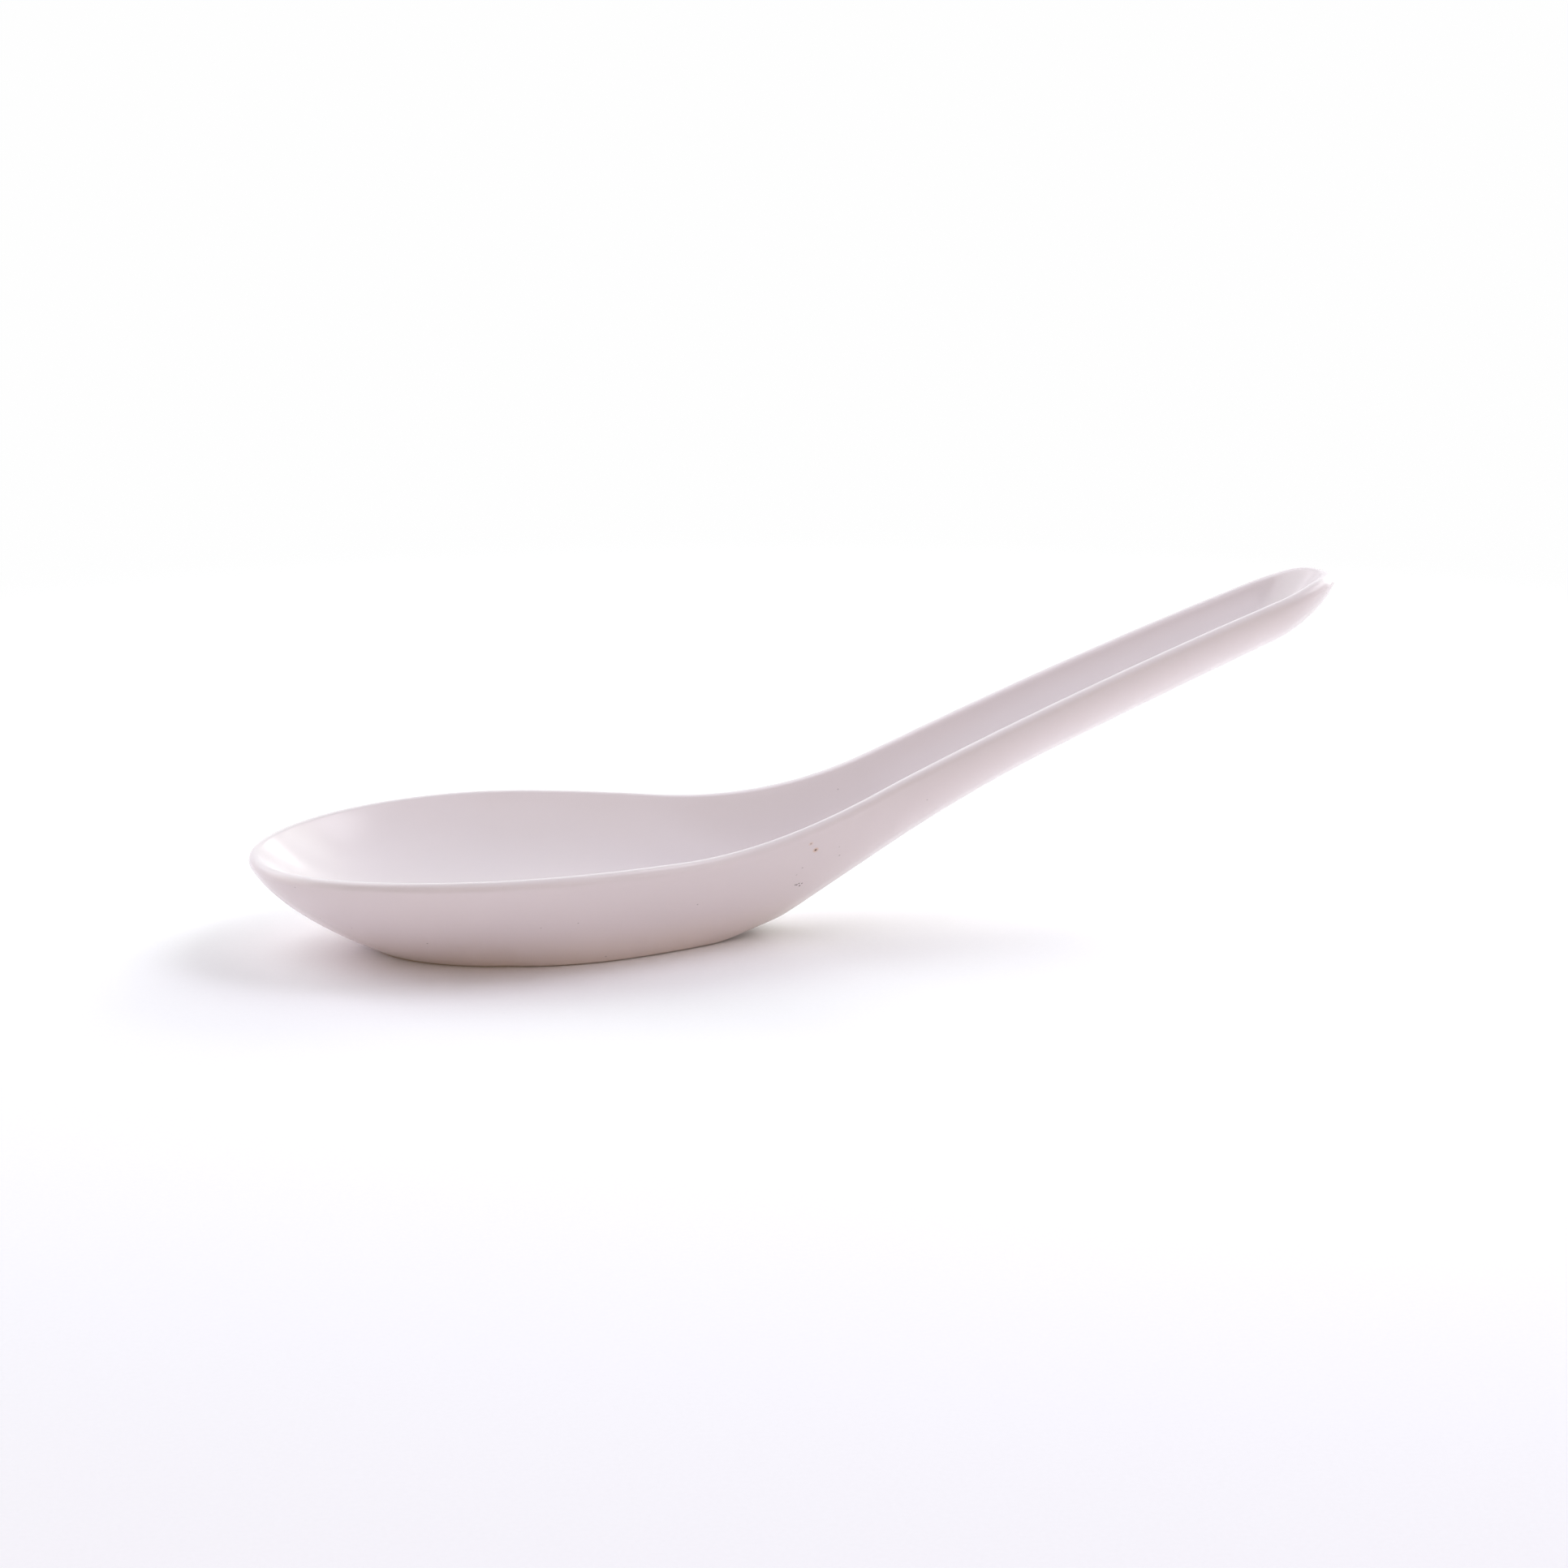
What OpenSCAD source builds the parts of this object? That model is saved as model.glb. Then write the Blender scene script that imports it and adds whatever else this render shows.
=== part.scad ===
// Porcelain soup spoon with a flat foot, a round bowl and a channelled handle.
// X runs from the tip of the bowl to the end of the handle, Y across, Z up.
// The origin lies on the surface that the spoon stands on, inside its foot.
// The whole spoon is one skin, lofted from cross-sections that follow four guide lines:
// the outline of the lip, its height, the keel underneath and the floor inside.
// Each half section is an outer curve, the round lip and an inner curve.

/* [Bowl] */
// Width of the bowl across the lip
bowl_w = 44; // [40:0.2:50]
// Distance from the origin forward to the tip of the bowl
bowl_reach = 37; // [34:0.2:42]
// Distance from the origin forward to the widest part of the bowl
widest_reach = 6.7; // [4:0.1:10]
// Height of the top of the lip along the sides of the bowl
rim_h = 13.5; // [12.5:0.1:17]
// Thickness of the bowl's floor above the foot
floor_t = 2.5; // [2:0.1:3.5]

/* [Lip] */
// Radius of the round lip along the bowl, half the thickness of the edge
bowl_lip_r = 0.8; // [0.7:0.05:1.2]
// Radius of the round lip along the handle
handle_lip_r = 1; // [0.8:0.05:1.3]
// Length over which the lip runs down straight to the tip of the bowl
dip_l = 5.7; // [4:0.1:12]
// Distance from the origin back to where the lip starts to climb
level_l = 14.2; // [10:0.2:18]
// Distance from the origin back to where the lip is steepest
steepest_x = 39.6; // [35:0.2:43]

/* [Handle] */
// Distance from the origin back to the end of the handle
handle_reach = 97.4; // [88:0.2:110]
// Distance from the origin back to the neck, where the bowl's outline meets the handle
neck_x = 43.8; // [41:0.2:48]
// Width of the handle across the lip at the neck
neck_w = 18.5; // [16:0.1:21]
// Width of the handle across the lip near its end
end_w = 13.9; // [12:0.1:16]
// Length of the rounded end of the handle
end_round = 7.4; // [6:0.2:10]
// Thickness under the finger channel, measured upright
channel_floor_t = 2.3; // [1.8:0.1:2.8]
// Slope of the lip where it is steepest
climb_slope = 0.48; // [0.43:0.01:0.53]
// Slope of the lip near the end of the handle
end_slope = 0.38; // [0.34:0.01:0.42]

/* [Foot] */
// Height of the unglazed foot ring
foot_h = 0.4; // [0.3:0.1:1]
// How far the foot ring is set in from the edge of the glazed wall
foot_set_in = 0.4; // [0.2:0.1:0.8]
// Width of the foot ring's band
foot_band = 2.5; // [1.5:0.1:4]
// Distance from the origin back to the heel, where the flat sole ends
heel_x = 26.5; // [24:0.1:28]

/* [Hidden] */

glaze_colour = "#ebe3e8";
bisque_colour = "#cfc5b8";

// Lip: lines through the centre of the round edge, and the slopes along its top
lip_tip_x = -bowl_reach + bowl_lip_r;
lip_end_x = handle_reach - handle_lip_r;
widest_x = -widest_reach;
round_x = lip_end_x - end_round;
front_level_l = 1;
flat_end_l = 3.2;
dip_slope = 0.07;
lip_guide = [
    [lip_tip_x, dip_slope],
    [lip_tip_x + dip_l, dip_slope],
    [-front_level_l, 0],
    [level_l, 0],
    [steepest_x, climb_slope],
    [lip_end_x - flat_end_l, end_slope],
    [lip_end_x, 0]
];

// Keel: the line under the middle, which climbs from the heel.
// Ahead of the heel it runs on below the sole, whose plane cuts the hull off.
throat_x = 42;
grip_x = 62;
heel_slope = 0.67;
throat_slope = 0.665;
grip_slope = 0.47;
tail_slope = 0.445;
keel_guide = [
    [heel_x, heel_slope],
    [throat_x, throat_slope],
    [grip_x, grip_slope],
    [lip_end_x, tail_slope]
];
keel_low_x = 5;
keel_bend = 1.37;
keel_drop = heel_slope * (heel_x - keel_low_x) / keel_bend;
front_x = -13.3;
front_drop = 3.06;
end_fan_share = 0.1;

// Floor: the line down the middle inside, with one long fillet at the heel
floor_fillet = 3;

// Half sections: each curve meets the lip at its wall's angle, and its two handles are shares of its
// reach and of its height. Each list is across the bowl, across the handle, at the tip and at the end.
// The bowl's values turn into the handle's between these places, at the keel a little sooner.
keel_blend_start_x = 16;
blend_start_x = 22;
blend_end_x = 55;
wall_angles = [55.2, 84, 61, 66];
keel_shares = [0.15, 0.5, 0.15, 0.55];
wall_shares = [0.56, 0.415, 0.53, 0.28];
inner_angles = [53, 64, 40, 42];
floor_shares = [0.48, 0.5, 0.45, 0.5];
inner_shares = [0.5, 0.5, 0.5, 0.5];

// Foot: its ring and its recess are the sole's own outline, drawn in
overrun = 1;

// Number of steps in the loft
front_steps = 16;
bowl_steps = 13;
throat_steps = 9;
grip_steps = 14;
end_steps = 11;
outer_steps = 9;
lip_steps = 10;
inner_steps = 10;
halvings = 30;

function total(values, i = 0) = i < len(values) ? values[i] + total(values, i + 1) : 0;
function mix(a, b, t) = a + (b - a) * t;
function clamp(value, low, high) = min(max(value, low), high);
function ease(a, b, x) = let (t = clamp((x - a) / (b - a), 0, 1)) t * t * (3 - 2 * t);

// Rise along a guide of [x, slope] pairs, whose slope changes evenly from pair to pair
function pair_rise(a, b, x) =
    let (run = clamp(x, a[0], b[0]) - a[0])
    a[1] * run + (b[1] - a[1]) * run * run / (2 * (b[0] - a[0]));
function rise(guide, x) =
    total([for (k = [0:len(guide) - 2]) pair_rise(guide[k], guide[k + 1], x)]);

// Radius of the lip
function lip_r(x) = mix(bowl_lip_r, handle_lip_r, ease(blend_start_x, blend_end_x, x));

// Half width of the lip's centre line: an ellipse at each end, an eased flank and a straight taper
function taper_half(x) = mix(neck_w, end_w, (x - neck_x) / (lip_end_x - neck_x)) / 2;
function ellipse_drop(share) = sqrt(max(1 - share * share, 0));
function outline_half(x) =
    let (flank = cos(90 * clamp((x - widest_x) / (neck_x - widest_x), 0, 1)))
    let (half = taper_half(x) + (bowl_w / 2 - taper_half(widest_x)) * flank * flank)
    x < widest_x ? (bowl_w / 2 - lip_r(x)) * ellipse_drop((widest_x - x) / (widest_x - lip_tip_x))
    : (half - lip_r(x)) * ellipse_drop(max(x - round_x, 0) / end_round);

function lip_z(x) = rim_h + rise(lip_guide, x) - rise(lip_guide, 0) - lip_r(x);

// Foot of each section on the middle line: the sections fan out round both ends
function middle_x(x) =
    x < widest_x ? mix(widest_x, front_x, (widest_x - x) / (widest_x - lip_tip_x))
    : x > round_x ? mix(round_x, x, end_fan_share)
    : x;
function keel_z(x) =
    x >= heel_x ? foot_h + rise(keel_guide, x)
    : x >= keel_low_x ? foot_h - keel_drop * (1 - pow((x - keel_low_x) / (heel_x - keel_low_x), keel_bend))
    : foot_h - keel_drop + (keel_drop - front_drop) * pow((keel_low_x - x) / (keel_low_x - front_x), 2);
function floor_z(x) =
    let (level = foot_h + floor_t)
    let (climbing = keel_z(x) + channel_floor_t)
    (level + climbing + sqrt(pow(level - climbing, 2) + floor_fillet * floor_fillet)) / 2;

// Point on a curve with four control points
function curve(points, t) =
    let (s = 1 - t)
    s * s * s * points[0] + 3 * s * s * t * points[1]
        + 3 * s * t * t * points[2] + t * t * t * points[3];

// Place on a curve that climbs where it reaches a height
function reach_height(points, height, low = 0, high = 1, n = halvings) =
    let (half = (low + high) / 2)
    n == 0 ? half
    : curve(points, half)[1] < height ? reach_height(points, height, half, high, n - 1)
    : reach_height(points, height, low, half, n - 1);

// Value of a half section from its list, by its place and by how far it has turned along the middle
function value_at(values, x, turn, start_x = blend_start_x) =
    let (across = mix(values[0], values[1], ease(start_x, blend_end_x, x)))
    turn < 0 ? mix(across, values[2], -turn) : mix(across, values[3], turn);

// One half section in its own upright plane: [distance from the middle line, height].
// Where it has turned along the middle, it leaves the keel and the floor at their own slope.
function flat_section(x, reach, keel, level, turn) =
    let (r = lip_r(x))
    let (top = lip_z(x))
    let (tilt = tail_slope * max(turn, 0))
    let (wall = value_at(wall_angles, x, turn))
    let (inner = value_at(inner_angles, x, turn))
    let (start = [reach + r * sin(wall), top - r * cos(wall)])
    let (keel_l = start[0] * value_at(keel_shares, x, turn, keel_blend_start_x))
    let (outer_l = (start[1] - keel) * value_at(wall_shares, x, turn) / sin(wall))
    let (outer = [
        [0, keel],
        [keel_l, keel + keel_l * tilt],
        start - outer_l * [cos(wall), sin(wall)],
        start
    ])
    let (finish = [reach - r * sin(inner), top + r * cos(inner)])
    let (floor_l = finish[0] * value_at(floor_shares, x, turn))
    let (inner_l = (finish[1] - level) * value_at(inner_shares, x, turn) / sin(inner))
    let (inside = [
        finish,
        finish - inner_l * [cos(inner), sin(inner)],
        [floor_l, level + floor_l * tilt],
        [0, level]
    ])
    let (first = keel < foot_h ? reach_height(outer, foot_h) : 0)
    concat(
        [[curve(outer, first)[0], max(keel, foot_h)]],
        [for (k = [1:outer_steps]) curve(outer, mix(first, 1, k / outer_steps))],
        [for (k = [1:lip_steps - 1])
            let (a = mix(wall - 90, inner + 90, k / lip_steps))
            [reach + r * cos(a), top + r * sin(a)]],
        [for (k = [0:inner_steps]) curve(inside, k / inner_steps)]
    );

// The same half section in space, on the side of positive Y
function half_section(x) =
    let (foot = middle_x(x))
    let (half = outline_half(x))
    let (reach = norm([x - foot, half]))
    let (way = [x - foot, half] / reach)
    [for (p = flat_section(x, reach, keel_z(foot), floor_z(foot), way[0]))
        [foot + p[0] * way[0], p[0] * way[1], p[1]]];

function steps(a, b, n) = [for (k = [1:n]) mix(a, b, k / n)];
stations = concat(
    [for (k = [0:front_steps]) mix(widest_x, lip_tip_x, cos(90 * k / front_steps))],
    steps(widest_x, heel_x, bowl_steps),
    steps(heel_x, neck_x, throat_steps),
    steps(neck_x, round_x, grip_steps),
    [for (k = [1:end_steps]) mix(round_x, lip_end_x, sin(90 * k / end_steps))]
);
heel_station = front_steps + bowl_steps;
neck_station = heel_station + throat_steps;
last_station = len(stations) - 1;
sections = [for (x = stations) half_section(x)];
section_points = len(sections[0]);

// Points in the middle plane, which both sides of the skin share
function on_middle(i, j) =
    i == 0 || i == last_station || j == section_points - 1 || (j == 0 && i >= heel_station);

// Corners that a face has twice, because two of its points coincide, count once
function corners(face) = [for (k = [0:len(face) - 1]) if (face[k] != face[(k + 1) % len(face)]) face[k]];

// Closed skin over the stations from first to last, with a flat cap where it is cut
module skin(first, last) {
    n = section_points;
    rows = last - first + 1;
    right = [for (i = [first:last]) each sections[i]];
    left = [for (p = right) [p[0], -p[1], p[2]]];
    function right_index(i, j) = (i - first) * n + j;
    function left_index(i, j) = right_index(i, j) + (on_middle(i, j) ? 0 : rows * n);
    walls = [for (i = [first:last - 1], j = [0:n - 2])
        let (a = [i, j], b = [i, j + 1], c = [i + 1, j + 1], d = [i + 1, j])
        let (other_way = on_middle(i, j) && on_middle(i + 1, j + 1))
        let (halves = other_way ? [[a, b, d], [b, c, d]] : [[a, b, c], [a, c, d]])
        for (h = halves) each [
            [for (k = [2, 1, 0]) right_index(h[k][0], h[k][1])],
            [for (k = [0, 1, 2]) left_index(h[k][0], h[k][1])]
        ]];
    sole = first < heel_station ? [for (i = [first:heel_station - 1]) each [
        [left_index(i + 1, 0), right_index(i + 1, 0), right_index(i, 0)],
        [left_index(i, 0), left_index(i + 1, 0), right_index(i, 0)]
    ]] : [];
    front_cap = concat(
        [for (j = [0:n - 1]) right_index(first, j)],
        [for (j = [n - 2:-1:1]) left_index(first, j)]
    );
    rear_cap = concat(
        [for (j = [1:n - 1]) left_index(last, j)],
        [for (j = [n - 2:-1:0]) right_index(last, j)]
    );
    caps = concat(first > 0 ? [front_cap] : [], last < last_station ? [rear_cap] : []);
    faces = [for (face = concat(walls, sole, caps))
        let (kept = corners(face)) if (len(kept) > 2) kept];
    polyhedron(concat(right, left), faces);
}

// Outline of the sole, where its plane cuts the hull, and the same drawn in towards its middle
sole_side = [for (i = [0:heel_station]) [sections[i][0][0], sections[i][0][1]]];
sole_outline = concat(
    sole_side,
    [for (i = [heel_station - 1:-1:1]) [sole_side[i][0], -sole_side[i][1]]]
);
sole_middle_x = (sole_side[0][0] + heel_x) / 2;
sole_half_l = heel_x - sole_middle_x;
sole_half_w = max([for (p = sole_side) p[1]]);
function drawn_in(inset) = [for (p = sole_outline) [
    mix(p[0], sole_middle_x, inset / sole_half_l),
    mix(p[1], 0, inset / sole_half_w)
]];

module bowl() {
    color(glaze_colour) skin(0, neck_station);
}

module handle() {
    color(glaze_colour) skin(neck_station, last_station);
}

module foot_ring() {
    color(bisque_colour)
        difference() {
            linear_extrude(foot_h) polygon(drawn_in(foot_set_in));
            translate([0, 0, -overrun])
                linear_extrude(foot_h + 2 * overrun) polygon(drawn_in(foot_set_in + foot_band));
        }
}

bowl();
handle();
foot_ring();
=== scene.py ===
import math

import bpy
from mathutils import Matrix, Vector
from mathutils.bvhtree import BVHTree


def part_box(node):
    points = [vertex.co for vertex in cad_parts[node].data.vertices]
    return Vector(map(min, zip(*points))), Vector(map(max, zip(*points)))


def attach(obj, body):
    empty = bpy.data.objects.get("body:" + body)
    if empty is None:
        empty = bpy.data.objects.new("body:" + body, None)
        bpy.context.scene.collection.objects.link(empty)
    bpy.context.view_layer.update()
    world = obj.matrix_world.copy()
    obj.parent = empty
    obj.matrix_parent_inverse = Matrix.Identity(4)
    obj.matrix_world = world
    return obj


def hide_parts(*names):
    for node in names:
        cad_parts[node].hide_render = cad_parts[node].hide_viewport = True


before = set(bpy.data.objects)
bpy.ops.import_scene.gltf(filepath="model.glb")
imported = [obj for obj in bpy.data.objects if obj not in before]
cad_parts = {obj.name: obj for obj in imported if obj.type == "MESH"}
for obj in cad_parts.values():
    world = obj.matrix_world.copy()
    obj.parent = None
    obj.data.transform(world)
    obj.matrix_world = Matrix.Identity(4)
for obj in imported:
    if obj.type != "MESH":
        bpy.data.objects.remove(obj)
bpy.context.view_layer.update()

MM = 0.001

# Sizes of the spoon in millimetres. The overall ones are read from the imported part.
bowl_low, bowl_high = (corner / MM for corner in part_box("bowl"))
handle_low, handle_high = (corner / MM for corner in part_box("handle"))
BOWL_W = bowl_high.y - bowl_low.y
BOWL_REACH = -bowl_low.x
HANDLE_REACH = handle_high.x
NECK_X = handle_low.x
FOOT_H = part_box("foot_ring")[1].z / MM

WIDEST_X = -6.7
RIM_H = 13.5
FLOOR_T = 2.5
BOWL_LIP_R = 0.8
HANDLE_LIP_R = 1
DIP_L = 5.7
LEVEL_L = 14.2
STEEPEST_X = 39.6
NECK_W = 18.5
END_W = 13.9
END_ROUND = 7.4
CHANNEL_FLOOR_T = 2.3
CLIMB_SLOPE = 0.48
END_SLOPE = 0.38
FOOT_SET_IN = 0.4
FOOT_BAND = 2.5
HEEL_X = 26.5

# Lip: where the centre line of its round edge starts and ends, and where the handle's end starts to round,
# with pairs of a place and the slope of the lip's top there
LIP_TIP_X = -BOWL_REACH + BOWL_LIP_R
LIP_END_X = HANDLE_REACH - HANDLE_LIP_R
ROUND_X = LIP_END_X - END_ROUND
FRONT_LEVEL_L = 1
FLAT_END_L = 3.2
DIP_SLOPE = 0.07
LIP_GUIDE = [
    (LIP_TIP_X, DIP_SLOPE),
    (LIP_TIP_X + DIP_L, DIP_SLOPE),
    (-FRONT_LEVEL_L, 0),
    (LEVEL_L, 0),
    (STEEPEST_X, CLIMB_SLOPE),
    (LIP_END_X - FLAT_END_L, END_SLOPE),
    (LIP_END_X, 0),
]

# Keel: the line under the middle, which climbs from the heel
THROAT_X = 42
GRIP_X = 62
HEEL_SLOPE = 0.67
THROAT_SLOPE = 0.665
GRIP_SLOPE = 0.47
TAIL_SLOPE = 0.445
KEEL_GUIDE = [
    (HEEL_X, HEEL_SLOPE),
    (THROAT_X, THROAT_SLOPE),
    (GRIP_X, GRIP_SLOPE),
    (LIP_END_X, TAIL_SLOPE),
]
KEEL_LOW_X = 5
KEEL_BEND = 1.37
KEEL_DROP = HEEL_SLOPE * (HEEL_X - KEEL_LOW_X) / KEEL_BEND
FRONT_X = -13.3
FRONT_DROP = 3.06
END_FAN_SHARE = 0.1
FLOOR_FILLET = 3

# Half sections: values across the bowl, across the handle, at the tip and at the end.
# The bowl's turn into the handle's between two places, at the keel a little sooner.
KEEL_BLEND_START_X = 16
BLEND_START_X = 22
BLEND_END_X = 55
WALL_ANGLES = (55.2, 84, 61, 66)
KEEL_SHARES = (0.15, 0.5, 0.15, 0.55)
WALL_SHARES = (0.56, 0.415, 0.53, 0.28)
INNER_ANGLES = (53, 64, 40, 42)
FLOOR_SHARES = (0.48, 0.5, 0.45, 0.5)
INNER_SHARES = (0.5, 0.5, 0.5, 0.5)

# The glaze runs down over the bare ring and leaves only its lowest part free: roundness of the glazed
# edge and of the ring's own edges, and how far the ring is drawn in and reaches up into the glaze. At the
# heel the edge lifts off the table and grows rounder, and the ring ends sooner.
GLAZE_LOW_Z = 0.1
SOLE_EDGE = 0.1
RING_EDGE = 0.12
RING_DRAW_IN = 0.15
RING_TUCK = 0.1
LIFT_START_X = 19
LIFT_END_X = 28
HEEL_LIFT = 1.3
HEEL_EDGE = 0.6
RING_HEEL_DRAW = 4.5

# The side walls are a little fuller up to a small height above the foot
SWELL_SHARE = 0.055
SWELL_H = 3.5
SWELL_SIDE_POWER = 4

# Numbers of steps in the skin
FRONT_STEPS = 40
BOWL_STEPS = 64
THROAT_STEPS = 44
GRIP_STEPS = 56
END_STEPS = 28
SOLE_STEPS = 7
WALL_STEPS = 26
EDGE_STEPS = 18
INNER_STEPS = 28
RING_STEPS = 4
HALVINGS = 30

# The steps crowd towards the edge of the sole, the sharpest turn of the outer curve. Sections that don't
# reach down to the sole keep a small share of their curve for the sole's steps.
CROWDING = 1.9
LEAST_SOLE_SHARE = 0.08

# The middle of the spoon, on which the camera and the lit part of the table are centred
SPOON_MIDDLE = Vector((28.7, 0, 18.5)) * MM

# Camera, solved together with the spoon's proportions from the traced outlines. Azimuths are 0 behind the
# spoon, 90 on its right and 180 in front of it.
CAMERA_AZIMUTH = 188
CAMERA_ELEVATION = 14.5
CAMERA_DISTANCE = 497 * MM
CAMERA_ANGLE = 22
CAMERA_CLIPS = (0.01, 20)

WHITE = (1, 1, 1, 1)
BLACK = (0, 0, 0, 1)

# The middle part of a noise, between its usual lowest and highest values
NOISE_RANGE = (0.3, 0.7)

# Specks in the glaze that the photograph shows: their pixel there, radius in millimetres and darkness
PHOTO_SIDE = 1932
SPECKS = {
    "rust spot": (1004.5, 1046.8, 0.15, 1.0),
    "rust companion": (998.8, 1039.2, 0.12, 0.5),
    "cluster far left": (979.4, 1089.9, 0.12, 0.8),
    "cluster left": (981.3, 1089.6, 0.13, 0.9),
    "cluster top": (984.0, 1088.0, 0.12, 0.85),
    "cluster bottom": (984.6, 1090.8, 0.13, 0.95),
    "cluster right": (987.5, 1087.9, 0.12, 0.8),
    "above the cluster": (980.9, 1077.6, 0.12, 0.2),
    "beside the cluster": (988.3, 1068.8, 0.12, 0.35),
    "heel right": (1033.8, 1053.4, 0.12, 0.4),
    "heel right upper": (1033.8, 1043.0, 0.1, 0.22),
    "wall right": (859, 1114, 0.11, 0.4),
    "wall middle right": (746, 1178, 0.11, 0.35),
    "wall middle": (712, 1137, 0.1, 0.35),
    "wall middle left": (666, 1143, 0.1, 0.3),
    "wall low left": (526, 1162, 0.12, 0.4),
    "wall left": (433, 1143, 0.1, 0.3),
    "tip right": (394, 1131, 0.1, 0.3),
    "tip right twin": (387, 1132, 0.1, 0.25),
    "tip upper": (363, 1093, 0.11, 0.3),
    "tip lower": (340, 1102, 0.09, 0.25),
    "inside the neck": (1032, 972, 0.1, 0.3),
    "neck outside": (1142, 985, 0.1, 0.3),
    "neck outside right": (1156, 1001, 0.1, 0.25),
}
RUST_SPOTS = ("rust spot", "rust companion")

# How far specks and rust spread, in times a speck's radius, which share of that is as dark all over, and
# how strong the rust is
SPECK_SPREAD = 1.4
RUST_SPREAD = 3.5
SPECK_CORE_SHARE = 1 / 3
RUST_SHARE = 0.6

# Fine specks: one in each cell, if its chance is above a limit, with its size as a share of the cell's
SPECK_SPACING = 2.6 * MM
FINE_SPECK_SIZES = (0.02, 0.045)
FINE_SPECK_LIMIT = 0.94
FINE_SPECK_DARKNESS = 0.5

# Glaze, faintly mottled, with painted warm light that makes it lighter and warmer towards the foot,
# between two heights
GLAZE_COLOUR = (0.785, 0.72, 0.745, 1)
MOTTLE_AND_PAINTED_WARM_LIGHT_COLOUR = (0.83, 0.75, 0.73, 1)
SPECK_COLOUR = (0.05, 0.025, 0.025, 1)
RUST_COLOUR = (0.70, 0.45, 0.28, 1)
PAINTED_WARM_LIGHT_FROM_Z = 6.5 * MM
PAINTED_WARM_LIGHT_TO_Z = 0.4 * MM
LEAST_PAINTED_WARM_LIGHT_SHARE = 0.6
MOTTLE_GRAIN = 11 * MM
MOTTLE_RANGE = (0.35, 0.7)
MOTTLE_SHARE = 0.1
WAVE_GRAIN = 13 * MM
WAVE_DEPTH = 0.03 * MM
PEEL_GRAIN = 0.9 * MM
PEEL_DEPTH = 0.0012 * MM
GLAZE_ROUGHNESS = (0.19, 0.25)
GLAZE_IOR = 1.5

# Bare porcelain of the foot, darkened and browned in blotches as painted shade where it stands on the
# table
PAINTED_SHADE_BARE_COLOUR = (0.60, 0.50, 0.42, 1)
DEEPER_PAINTED_SHADE_COLOUR = (0.42, 0.34, 0.26, 1)
SHADE_BLOTCH_GRAIN = 4 * MM
SHADE_BLOTCH_RANGE = (0.4, 0.7)
BISQUE_GRAIN = 0.35 * MM
BISQUE_DEPTH = 0.03 * MM
BISQUE_RANGE = (0.55, 0.8)
BISQUE_SHARE = 0.5
BARE_ROUGHNESS = 0.85

# The table, which is a little violet and, as painted shade, a little darker near the camera. Near the
# spoon it is lit, so that it keeps the shadow, and farther off it is seen as even white.
TABLE_COLOUR = WHITE
FRONT_TINT_AND_PAINTED_SHADE_COLOUR = (0.92, 0.89, 0.955, 1)
TABLE_BOUNCE_COLOUR = (0.98, 0.94, 0.95, 1)
TABLE_TINT_AND_SHADE_Y = (0.04, -0.26)
TABLE_LIT_REACH = (0.11, 0.26)
TABLE_GRAIN = 0.5 * MM
TABLE_GRAIN_DEPTH = 0.01 * MM
TABLE_GRAIN_SHARE = 0.015
FLOOR_HALF = 4.0

# Soft panels of a light tent, all aimed at one place: azimuth, elevation, distance, width and height in
# metres, and how white each is in red, green and blue. One is kept out of reflections, because its mirror
# image would leave a hard patch inside the tip.
PANELS = {
    "left key": (-60, 44, 0.8, 0.35, 0.35, (1.45, 1.65, 1.55)),
    "left key spill": (-60, 44, 0.8, 0.8, 0.7, (1.85, 1.85, 1.9)),
    "left back": (-45, 16, 0.8, 0.6, 0.4, (2.2, 2, 2.5)),
    "left low": (-80, 12, 0.8, 0.6, 0.33, (1.3, 1.15, 1.05)),
    "back": (0, 35, 1.0, 1.4, 0.6, (0.35, 0.4, 0.35)),
    "right back": (50, 18, 0.8, 0.6, 0.4, (3.9, 4.1, 3.9)),
    "right back high": (62, 38, 0.8, 0.4, 0.4, (1.9, 2.1, 1.95)),
    "right key": (95, 48, 0.8, 0.45, 0.45, (3.4, 3.4, 3.6)),
    "right key core": (95, 48, 0.8, 0.2, 0.2, (2.2, 2.2, 3)),
    "right low": (120, 9, 0.8, 0.5, 0.22, (0.3, 0.2, 0.2)),
    "right key spill": (75, 42, 0.8, 0.8, 0.7, (0.4, 0.4, 0.42)),
    "front high": (180, 62, 0.9, 0.9, 0.45, (0.7, 0.7, 0.73)),
    "front": (180, 33, 1.0, 1.0, 0.5, (0.25, 0.17, 0.11)),
    "front low": (180, 9, 1.0, 1.2, 0.3, (1.1, 0.83, 0.6)),
    "top": (0, 90, 0.8, 0.9, 0.9, (0.2, 0.2, 0.25)),
}
UNMIRRORED_PANELS = ("left back",)
LIT_PLACE = Vector((20, 0, 10)) * MM
WORLD_LIGHT = 0.02


def mix(a, b, share):
    return a + (b - a) * share


def ease(a, b, x):
    t = min(max((x - a) / (b - a), 0), 1)
    return t * t * (3 - 2 * t)


def rise(guide, x):
    """Climb along a guide of (place, slope) pairs, whose slope changes evenly from pair to pair."""
    climb = 0
    for (start, slope), (end, next_slope) in zip(guide, guide[1:]):
        run = min(max(x, start), end) - start
        climb += slope * run + (next_slope - slope) * run * run / (2 * (end - start))
    return climb


def lip_r(x):
    return mix(BOWL_LIP_R, HANDLE_LIP_R, ease(BLEND_START_X, BLEND_END_X, x))


def taper_half(x):
    return mix(NECK_W, END_W, (x - NECK_X) / (LIP_END_X - NECK_X)) / 2


def ellipse_drop(share):
    return math.sqrt(max(1 - share * share, 0))


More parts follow.
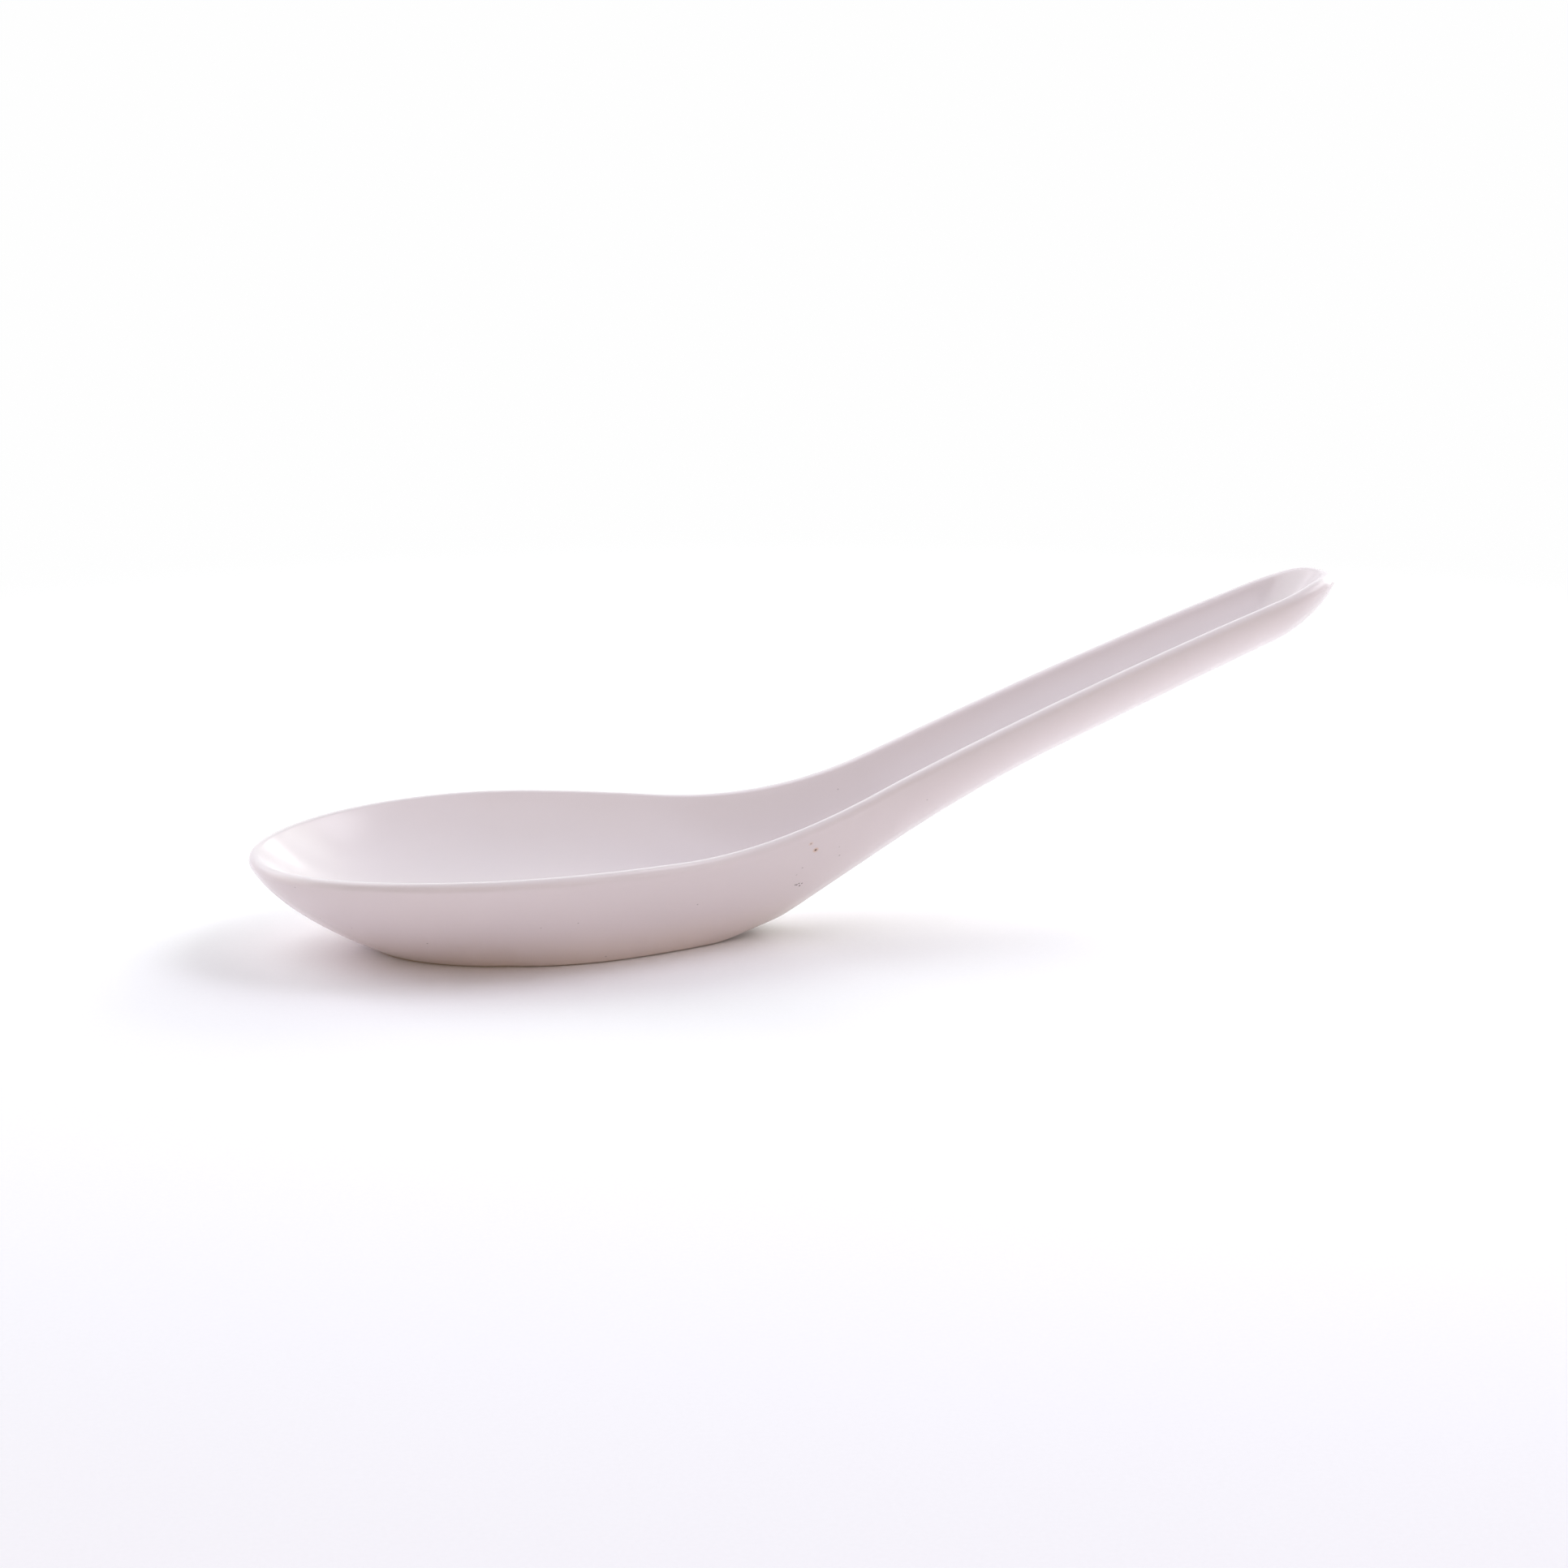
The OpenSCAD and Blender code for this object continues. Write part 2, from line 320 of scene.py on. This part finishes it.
def outline_half(x):
    """Half width of the lip's centre line."""
    if x < WIDEST_X:
        return (BOWL_W / 2 - lip_r(x)) * ellipse_drop((WIDEST_X - x) / (WIDEST_X - LIP_TIP_X))
    flank_share = min((x - WIDEST_X) / (NECK_X - WIDEST_X), 1)
    flank = math.cos(math.pi / 2 * flank_share)
    half = taper_half(x) + (BOWL_W / 2 - taper_half(WIDEST_X)) * flank * flank
    return (half - lip_r(x)) * ellipse_drop(max(x - ROUND_X, 0) / END_ROUND)


def lip_z(x):
    return RIM_H + rise(LIP_GUIDE, x) - rise(LIP_GUIDE, 0) - lip_r(x)


def middle_x(x):
    """Place on the middle line where the section through the lip at x starts: both ends fan out."""
    if x < WIDEST_X:
        return mix(WIDEST_X, FRONT_X, (WIDEST_X - x) / (WIDEST_X - LIP_TIP_X))
    return mix(ROUND_X, x, END_FAN_SHARE) if x > ROUND_X else x


def keel_z(x):
    if x >= HEEL_X:
        return FOOT_H + rise(KEEL_GUIDE, x)
    if x >= KEEL_LOW_X:
        run_share = (x - KEEL_LOW_X) / (HEEL_X - KEEL_LOW_X)
        return FOOT_H - KEEL_DROP * (1 - run_share**KEEL_BEND)
    run_share = (KEEL_LOW_X - x) / (KEEL_LOW_X - FRONT_X)
    return FOOT_H - KEEL_DROP + (KEEL_DROP - FRONT_DROP) * run_share**2


def higher(a, b, fillet):
    """The higher of two heights, with a fillet where they cross."""
    return (a + b + math.hypot(a - b, fillet)) / 2


def floor_z(x):
    return higher(FOOT_H + FLOOR_T, keel_z(x) + CHANNEL_FLOOR_T, FLOOR_FILLET)


def curve(points, t):
    s = 1 - t
    a, b, c, d = points
    return a * s**3 + b * (3 * s * s * t) + c * (3 * s * t * t) + d * t**3


def reach_height(points, height):
    """Place on a curve that climbs where it reaches a height."""
    low, high = 0, 1
    for _ in range(HALVINGS):
        half = (low + high) / 2
        if curve(points, half).y < height:
            low = half
        else:
            high = half
    return (low + high) / 2


def steps(a, b, count):
    """Evenly spaced places after a, up to b."""
    return [mix(a, b, k / count) for k in range(1, count + 1)]


def value_at(values, x, turn, start_x=BLEND_START_X):
    """Value of a half section, by its place and by how far it has turned along the middle."""
    across = mix(values[0], values[1], ease(start_x, BLEND_END_X, x))
    return mix(across, values[2], -turn) if turn < 0 else mix(across, values[3], turn)


def section_curves(x):
    """Outer curve, lip and inner curve of the half section at x: distance from the middle, and height."""
    foot = middle_x(x)
    reach = math.hypot(x - foot, outline_half(x))
    turn = (x - foot) / reach
    tilt = TAIL_SLOPE * max(turn, 0)
    keel, level, r = keel_z(foot), floor_z(foot), lip_r(x)
    wall = math.radians(value_at(WALL_ANGLES, x, turn))
    inner = math.radians(value_at(INNER_ANGLES, x, turn))
    wall_way = Vector((math.cos(wall), math.sin(wall)))
    inner_way = Vector((math.cos(inner), math.sin(inner)))
    centre = Vector((reach, lip_z(x)))
    start = centre + r * Vector((wall_way.y, -wall_way.x))
    finish = centre + r * Vector((-inner_way.y, inner_way.x))
    keel_l = start.x * value_at(KEEL_SHARES, x, turn, KEEL_BLEND_START_X)
    wall_l = (start.y - keel) * value_at(WALL_SHARES, x, turn) / wall_way.y
    floor_l = finish.x * value_at(FLOOR_SHARES, x, turn)
    inner_l = (finish.y - level) * value_at(INNER_SHARES, x, turn) / inner_way.y
    outer = (
        Vector((0, keel)),
        Vector((keel_l, keel + keel_l * tilt)),
        start - wall_l * wall_way,
        start,
    )
    inside = (
        finish,
        finish - inner_l * inner_way,
        Vector((floor_l, level + floor_l * tilt)),
        Vector((0, level)),
    )
    lip = [
        centre + r * Vector((math.cos(angle), math.sin(angle)))
        for angle in steps(wall - math.pi / 2, inner + math.pi / 2, EDGE_STEPS)[:-1]
    ]
    return outer, lip, inside


def placed(x, point):
    """A point of the half section at x, in space, on the side of positive Y."""
    foot = middle_x(x)
    way = Vector((x - foot, outline_half(x))).normalized()
    return Vector((foot + point.x * way.x, point.x * way.y, point.y))


def sole_crossing(outer, height):
    """Share of the outer curve that lies below a height."""
    return reach_height(outer, height) if outer[0].y < height else 0


def heel_share(x):
    """How far the section at x has come into the lifted heel."""
    return ease(LIFT_START_X, LIFT_END_X, x)


def swelled(x, point):
    """A point of the half section at x, moved out near the foot, except at the tip and at the heel."""
    sideways = outline_half(x) / math.hypot(x - middle_x(x), outline_half(x))
    low_share = 1 - min(max(point.y, 0) / SWELL_H, 1)
    share = SWELL_SHARE * sideways**SWELL_SIDE_POWER * (1 - heel_share(x)) * low_share**2
    return Vector((point.x * (1 + share), point.y))


def half_section(x):
    """Points of the half section at x: up the outside, over the lip and down the inside to the middle.

    Up to the grip, where the handle is far above the table, the outside is cut by the glaze's low edge.
    """
    outer, lip, inside = section_curves(x)
    lift = heel_share(x)
    low_z, low_edge = GLAZE_LOW_Z + HEEL_LIFT * lift, mix(SOLE_EDGE, HEEL_EDGE, lift)
    edge = max(sole_crossing(outer, low_z), LEAST_SOLE_SHARE)
    below = [edge * (1 - (1 - share) ** CROWDING) for share in [0, *steps(0, 1, SOLE_STEPS)]]
    above = [mix(edge, 1, share**CROWDING) for share in steps(0, 1, WALL_STEPS)]
    wall = [swelled(x, curve(outer, t)) for t in below + above]
    if x < GRIP_X:
        wall = [Vector((p.x, higher(p.y, low_z, low_edge))) for p in wall]
    inner = [curve(inside, t) for t in [0, *steps(0, 1, INNER_STEPS)]]
    return [placed(x, p) for p in wall + lip + inner]


def lip_stations():
    """Places along the lip where the skin has its sections, from the tip to the end of the handle."""
    front_angles = [0, *steps(0, math.pi / 2, FRONT_STEPS)]
    end_angles = steps(0, math.pi / 2, END_STEPS)
    front = [mix(WIDEST_X, LIP_TIP_X, math.cos(angle)) for angle in front_angles]
    end = [mix(ROUND_X, LIP_END_X, math.sin(angle)) for angle in end_angles]
    return [
        *front,
        *steps(WIDEST_X, HEEL_X, BOWL_STEPS),
        *steps(HEEL_X, NECK_X, THROAT_STEPS),
        *steps(NECK_X, ROUND_X, GRIP_STEPS),
        *end,
    ]


def make_piece(name, points, faces, nodes):
    """A smooth mesh piece on the part's one body, which stands for the CAD nodes named."""
    mesh = bpy.data.meshes.new(name)
    mesh.from_pydata([p * MM for p in points], [], faces)
    mesh.validate()
    mesh.shade_smooth()
    piece = bpy.data.objects.new(name, mesh)
    bpy.context.scene.collection.objects.link(piece)
    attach(piece, "root")
    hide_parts(*nodes)
    return piece


def glazed_skin():
    """The closed skin of bowl and handle. Both sides share the points on the middle plane."""
    sections = [half_section(x) for x in lip_stations()]
    last_row, last_point = len(sections) - 1, len(sections[0]) - 1
    points, index = [], {}
    for i, section in enumerate(sections):
        for j, p in enumerate(section):
            on_middle = i in (0, last_row) or j in (0, last_point)
            for side in (1, -1):
                if on_middle and side < 0:
                    index[i, j, side] = index[i, j, 1]
                    continue
                index[i, j, side] = len(points)
                points.append(Vector((p.x, 0 if on_middle else side * p.y, p.z)))
    faces = []
    for i in range(last_row):
        for j in range(last_point):
            corners = [(i, j), (i + 1, j), (i + 1, j + 1), (i, j + 1)]
            faces.append([index[row, column, 1] for row, column in corners])
            faces.append([index[row, column, -1] for row, column in reversed(corners)])
    return make_piece("porcelain_body", points, faces, ("bowl", "handle"))


def sole_outline():
    """Closed outline of the sole, where its plane cuts the hull."""
    side = []
    for x in lip_stations():
        if x < HEEL_X:
            outer = section_curves(x)[0]
            edge = placed(x, swelled(x, curve(outer, sole_crossing(outer, FOOT_H))))
            side.append(Vector((edge.x, edge.y)))
    tip, flank = side[0], side[1:]
    heel = Vector((HEEL_X, 0))
    return [tip, *flank, heel, *(Vector((p.x, -p.y)) for p in reversed(flank))]


def foot_ring():
    """The bare band that the spoon stands on: the sole's outline drawn in, with soft lower edges."""
    outline = sole_outline()
    centre_x = (outline[0].x + HEEL_X) / 2
    half_l = HEEL_X - centre_x
    half_w = max(p.y for p in outline)
    outside, inside, top = FOOT_SET_IN + RING_DRAW_IN, FOOT_SET_IN + FOOT_BAND, FOOT_H + RING_TUCK
    turns = [math.pi / 2 * k / RING_STEPS for k in range(RING_STEPS + 1)]
    profile = [
        (outside, top),
        *((outside + RING_EDGE * (1 - math.cos(a)), RING_EDGE * (1 - math.sin(a))) for a in turns),
        *((inside - RING_EDGE * (1 - math.sin(a)), RING_EDGE * (1 - math.cos(a))) for a in turns),
        (inside, top),
    ]
    points = []
    for p in outline:
        x = p.x - RING_HEEL_DRAW * ease(centre_x, HEEL_X, p.x)
        for inset, z in profile:
            points.append(Vector((mix(x, centre_x, inset / half_l), mix(p.y, 0, inset / half_w), z)))
    rows, n = len(outline), len(profile)
    faces = []
    for i in range(rows):
        for j in range(n):
            here, beside = i * n, (i + 1) % rows * n
            following = (j + 1) % n
            faces.append([here + j, here + following, beside + following, beside + j])
    return make_piece("bare_foot", points, faces, ("foot_ring",))


def feed(tree, socket, value):
    """Give a socket a value, or link it to another node's output."""
    if isinstance(value, bpy.types.NodeSocket):
        tree.links.new(value, socket)
    else:
        socket.default_value = value


def add_node(tree, kind, settings=None, **inputs):
    """A shader node with its settings, and its inputs by name: each a value or another node's output."""
    node = tree.nodes.new(kind)
    for key, value in (settings or {}).items():
        setattr(node, key, value)
    for key, value in inputs.items():
        feed(tree, node.inputs[key.replace("_", " ")], value)
    return node


def new_material(name):
    material = bpy.data.materials.new(name)
    material.use_nodes = True
    material.node_tree.nodes.clear()
    return material, material.node_tree


def arithmetic(tree, operation, a, b):
    node = add_node(tree, "ShaderNodeMath", {"operation": operation})
    feed(tree, node.inputs[0], a)
    feed(tree, node.inputs[1], b)
    return node.outputs[0]


def ramp(tree, value, low, high, start=0, end=1, interpolation="LINEAR"):
    """A value carried from the range between low and high to the one between start and end."""
    node = add_node(
        tree,
        "ShaderNodeMapRange",
        {"interpolation_type": interpolation},
        Value=value,
        From_Min=low,
        From_Max=high,
        To_Min=start,
        To_Max=end,
    )
    return node.outputs["Result"]


def blend(tree, share, a, b):
    """A colour between two others."""
    node = add_node(tree, "ShaderNodeMix", {"data_type": "RGBA"})
    for key, value in (("Factor_Float", share), ("A_Color", a), ("B_Color", b)):
        feed(tree, next(i for i in node.inputs if i.identifier == key), value)
    return next(o for o in node.outputs if o.identifier == "Result_Color")


def noise(tree, place, grain, detail=2):
    """Noise whose features are about one grain across, in metres."""
    node = add_node(tree, "ShaderNodeTexNoise", Vector=place, Scale=1 / grain, Detail=detail)
    return node.outputs["Fac"]


def distance_from(tree, place, point):
    """How far each point of a surface is from a fixed one."""
    node = add_node(tree, "ShaderNodeVectorMath", {"operation": "DISTANCE"})
    feed(tree, node.inputs[0], place)
    feed(tree, node.inputs[1], point)
    return node.outputs["Value"]


def bump(tree, height, depth, **inputs):
    node = add_node(tree, "ShaderNodeBump", Height=height, Distance=depth, **inputs)
    return node.outputs["Normal"]


def finish_material(tree, surface):
    add_node(tree, "ShaderNodeOutputMaterial", Surface=surface)


def specks_on(skin, eye):
    """Where the camera sees each speck on the skin, in metres, with its radius and darkness."""
    mesh = skin.data
    surface = BVHTree.FromPolygons([v.co for v in mesh.vertices], [f.vertices for f in mesh.polygons])
    half = math.tan(math.radians(CAMERA_ANGLE) / 2)
    found = {}
    for name, (across, down, radius, darkness) in SPECKS.items():
        right_share = 2 * (across + 0.5) / PHOTO_SIDE - 1
        up_share = 1 - 2 * (down + 0.5) / PHOTO_SIDE
        way = eye.rotation_quaternion @ Vector((right_share * half, up_share * half, -1))
        point = surface.ray_cast(eye.location, way.normalized())[0]
        if point:
            found[name] = (point, radius * MM, darkness)
    return found


def spots(tree, place, specks, spread):
    """How much each point is covered by specks, spread to some times their radius."""
    cover = 0.0
    for point, radius, darkness in specks:
        edge = radius * spread
        away = distance_from(tree, place, point)
        spot = ramp(tree, away, edge * SPECK_CORE_SHARE, edge, darkness, 0, "SMOOTHSTEP")
        cover = arithmetic(tree, "MAXIMUM", cover, spot)
    return cover


def fine_specks(tree, place):
    """Faint pinholes all over: a small spot in one of many cells, by chance."""
    cells = add_node(tree, "ShaderNodeTexVoronoi", Vector=place, Scale=1 / SPECK_SPACING, Randomness=1)
    chance = add_node(tree, "ShaderNodeSeparateColor", Color=cells.outputs["Color"]).outputs
    size = ramp(tree, chance["Green"], 0, 1, *FINE_SPECK_SIZES)
    spot = arithmetic(tree, "LESS_THAN", cells.outputs["Distance"], size)
    rare = ramp(tree, chance["Red"], FINE_SPECK_LIMIT, 1, 0, FINE_SPECK_DARKNESS)
    return arithmetic(tree, "MULTIPLY", spot, rare)


def glazed_porcelain(specks):
    """Clear glaze over pinkish white porcelain: faintly mottled, with painted warm light near the foot."""
    material, tree = new_material("glazed_porcelain")
    place = add_node(tree, "ShaderNodeTexCoord").outputs["Object"]
    height = add_node(tree, "ShaderNodeSeparateXYZ", Vector=place).outputs["Z"]
    mottle = noise(tree, place, MOTTLE_GRAIN, detail=3)
    # Painted warm light: the glaze grows lighter and warmer towards the foot, less so where the mottle is
    # low
    low_share = ramp(tree, height, PAINTED_WARM_LIGHT_FROM_Z, PAINTED_WARM_LIGHT_TO_Z, 0, 1, "SMOOTHSTEP")
    uneven = ramp(tree, mottle, *NOISE_RANGE, LEAST_PAINTED_WARM_LIGHT_SHARE, 1)
    painted_warm_light_share = arithmetic(tree, "MULTIPLY", low_share, uneven)
    colour = blend(tree, painted_warm_light_share, GLAZE_COLOUR, MOTTLE_AND_PAINTED_WARM_LIGHT_COLOUR)
    colour = blend(tree, ramp(tree, mottle, *MOTTLE_RANGE, 0, MOTTLE_SHARE), colour, MOTTLE_AND_PAINTED_WARM_LIGHT_COLOUR)
    rust = spots(tree, place, [specks[name] for name in RUST_SPOTS], RUST_SPREAD)
    colour = blend(tree, arithmetic(tree, "MULTIPLY", rust, RUST_SHARE), colour, RUST_COLOUR)
    specked = spots(tree, place, specks.values(), SPECK_SPREAD)
    dark = arithmetic(tree, "MAXIMUM", specked, fine_specks(tree, place))
    colour = blend(tree, dark, colour, SPECK_COLOUR)
    waves = bump(tree, noise(tree, place, WAVE_GRAIN), WAVE_DEPTH)
    shader = add_node(
        tree,
        "ShaderNodeBsdfPrincipled",
        Base_Color=colour,
        Roughness=ramp(tree, mottle, *NOISE_RANGE, *GLAZE_ROUGHNESS),
        IOR=GLAZE_IOR,
        Normal=bump(tree, noise(tree, place, PEEL_GRAIN), PEEL_DEPTH, Normal=waves),
    )
    finish_material(tree, shader.outputs["BSDF"])
    return material


def bare_porcelain():
    """Unglazed foot: matt and grainy, darkened in blotches as painted shade where it meets the table."""
    material, tree = new_material("bare_porcelain")
    place = add_node(tree, "ShaderNodeTexCoord").outputs["Object"]
    # Painted shade: the foot's colour is darkened and browned, in blotches, where it meets the table
    shade_blotches = ramp(tree, noise(tree, place, SHADE_BLOTCH_GRAIN, detail=4), *SHADE_BLOTCH_RANGE)
    grain = noise(tree, place, BISQUE_GRAIN, detail=4)
    colour = blend(tree, shade_blotches, PAINTED_SHADE_BARE_COLOUR, DEEPER_PAINTED_SHADE_COLOUR)
    colour = blend(tree, ramp(tree, grain, *BISQUE_RANGE, 0, BISQUE_SHARE), colour, DEEPER_PAINTED_SHADE_COLOUR)
    shader = add_node(
        tree,
        "ShaderNodeBsdfPrincipled",
        Base_Color=colour,
        Roughness=BARE_ROUGHNESS,
        Normal=bump(tree, grain, BISQUE_DEPTH),
    )
    finish_material(tree, shader.outputs["BSDF"])
    return material


def seen_directly(tree):
    """One where the camera sees a surface, also by a reflection or through glass, and zero otherwise."""
    path = add_node(tree, "ShaderNodeLightPath").outputs
    reflected = arithmetic(tree, "MAXIMUM", path["Is Glossy Ray"], path["Is Transmission Ray"])
    return arithmetic(tree, "MAXIMUM", path["Is Camera Ray"], reflected)


def white_table():
    material, tree = new_material("white_table")
    place = add_node(tree, "ShaderNodeNewGeometry").outputs["Position"]
    depth = add_node(tree, "ShaderNodeSeparateXYZ", Vector=place).outputs["Y"]
    grain = noise(tree, place, TABLE_GRAIN, detail=3)
    # Painted shade: the table grows darker, and a little violet, towards the front
    tinted_and_shaded = blend(tree, ramp(tree, depth, *TABLE_TINT_AND_SHADE_Y), TABLE_COLOUR, FRONT_TINT_AND_PAINTED_SHADE_COLOUR)
    shade = ramp(tree, grain, *NOISE_RANGE, 0, TABLE_GRAIN_SHARE)
    colour = blend(tree, shade, tinted_and_shaded, BLACK)
    seen = seen_directly(tree)
    lit = add_node(
        tree,
        "ShaderNodeBsdfDiffuse",
        Color=blend(tree, seen, TABLE_BOUNCE_COLOUR, colour),
        Normal=bump(tree, grain, TABLE_GRAIN_DEPTH),
    )
    white = add_node(tree, "ShaderNodeEmission", Color=colour, Strength=1)
    away = distance_from(tree, place, SPOON_MIDDLE)
    fade = ramp(tree, away, *TABLE_LIT_REACH, 0, 1, "SMOOTHSTEP")
    both = add_node(tree, "ShaderNodeMixShader", Fac=arithmetic(tree, "MULTIPLY", fade, seen))
    feed(tree, both.inputs[1], lit.outputs["BSDF"])
    feed(tree, both.inputs[2], white.outputs["Emission"])
    finish_material(tree, both.outputs["Shader"])
    return material


def floor(material):
    mesh = bpy.data.meshes.new("table")
    signs = [(-1, -1), (1, -1), (1, 1), (-1, 1)]
    mesh.from_pydata([(FLOOR_HALF * x, FLOOR_HALF * y, 0) for x, y in signs], [], [[0, 1, 2, 3]])
    mesh.materials.append(material)
    table = bpy.data.objects.new("table", mesh)
    bpy.context.scene.collection.objects.link(table)
    return table


def aim(thing, target):
    thing.rotation_mode = "QUATERNION"
    thing.rotation_quaternion = (target - thing.location).to_track_quat("-Z", "Y")


def way_to(azimuth, elevation):
    """Direction from the spoon to a place round it."""
    around, up = math.radians(azimuth), math.radians(elevation)
    return Vector((math.sin(around) * math.cos(up), math.cos(around) * math.cos(up), math.sin(up)))


def camera():
    data = bpy.data.cameras.new("camera")
    data.sensor_fit = "HORIZONTAL"
    data.angle = math.radians(CAMERA_ANGLE)
    data.clip_start, data.clip_end = CAMERA_CLIPS
    eye = bpy.data.objects.new("camera", data)
    bpy.context.scene.collection.objects.link(eye)
    eye.location = SPOON_MIDDLE + CAMERA_DISTANCE * way_to(CAMERA_AZIMUTH, CAMERA_ELEVATION)
    aim(eye, SPOON_MIDDLE)
    bpy.context.scene.camera = eye
    return eye


def panel(name, azimuth, elevation, distance, width, height, whiteness):
    brightest = max(whiteness)
    data = bpy.data.lights.new(name, "AREA")
    data.shape = "RECTANGLE"
    data.size = width
    data.size_y = height
    data.color = [share / brightest for share in whiteness]
    # The power at which a panel's face is that bright
    data.energy = brightest * math.pi * width * height
    lamp = bpy.data.objects.new(name, data)
    bpy.context.scene.collection.objects.link(lamp)
    lamp.location = LIT_PLACE + distance * way_to(azimuth, elevation)
    aim(lamp, LIT_PLACE)
    lamp.visible_camera = False
    lamp.visible_glossy = name not in UNMIRRORED_PANELS
    return lamp


def surroundings():
    world = bpy.data.worlds.new("surroundings")
    world.use_nodes = True
    tree = world.node_tree
    tree.nodes.clear()
    seen = seen_directly(tree)
    strength = ramp(tree, seen, 0, 1, WORLD_LIGHT, 1)
    background = add_node(tree, "ShaderNodeBackground", Color=WHITE, Strength=strength)
    add_node(tree, "ShaderNodeOutputWorld", Surface=background.outputs["Background"])
    bpy.context.scene.world = world


eye = camera()
skin = glazed_skin()
skin.data.materials.append(glazed_porcelain(specks_on(skin, eye)))
foot_ring().data.materials.append(bare_porcelain())
floor(white_table())
for name, values in PANELS.items():
    panel(name, *values)
surroundings()
bpy.context.scene.view_settings.view_transform = "Standard"
